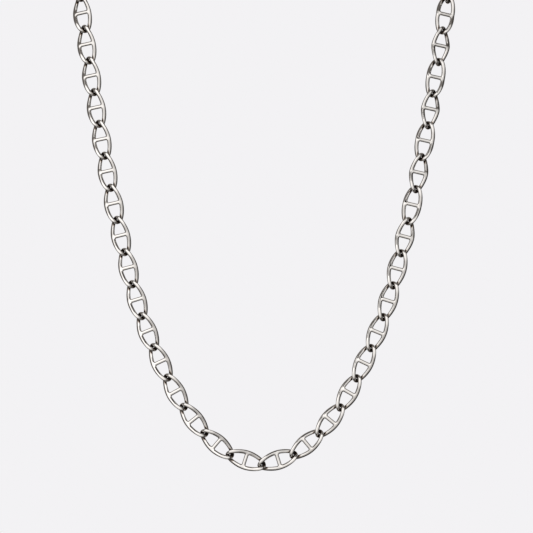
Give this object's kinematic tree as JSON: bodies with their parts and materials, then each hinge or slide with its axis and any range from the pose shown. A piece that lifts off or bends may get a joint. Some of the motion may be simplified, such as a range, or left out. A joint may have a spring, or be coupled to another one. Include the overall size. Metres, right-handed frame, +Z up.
{
  "type": "mariner link neck chain",
  "caption": "Polished silver neck chain of bowed oval links, each with a bar across its middle, closed at the nape by a plain barrel clasp and kept as it hangs when worn.",
  "frame": {"origin": "nape rest: the middle of the clasp barrel's inner side, which lies against the back of the neck", "axes": "+Z up, front of the chain towards -Y, +X to the right as seen from the front; the chain hangs down from the origin and forward of it"},
  "size_m": [0.1261, 0.0933, 0.2054],
  "materials": {
    "silver": "polished silver"
  },
  "bodies": {
    "root": {"left_chain": "silver", "right_chain": "silver", "clasp": "silver"}
  },
  "joints": []
}
